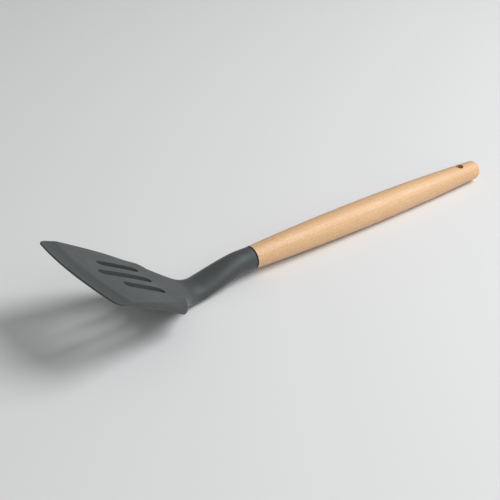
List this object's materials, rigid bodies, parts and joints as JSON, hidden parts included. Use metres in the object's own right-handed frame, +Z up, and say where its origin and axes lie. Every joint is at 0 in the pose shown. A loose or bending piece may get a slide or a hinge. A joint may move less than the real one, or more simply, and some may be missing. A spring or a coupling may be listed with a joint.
{
  "type": "spatula",
  "caption": "Slotted turner for lifting food: a bevelled, slotted silicone blade rises from a bent neck on a barrel-shaped turned wooden handle with a hole to hang it by",
  "frame": {"origin": "on the table under the middle of the bounding box", "axes": "+X along the spatula from the blade's front edge to the handle's butt, +Y across the blade, +Z up from the table it lies on"},
  "size_m": [0.3408, 0.0858, 0.054],
  "materials": {
    "beech": "turned and sanded beech, fine flecks, satin oil",
    "nylon": "moulded, unpainted",
    "silicone": "satin, moulded in one piece"
  },
  "bodies": {
    "root": {"beech_handle": "beech", "nylon_core": "nylon", "silicone_skin": "silicone"}
  },
  "joints": []
}
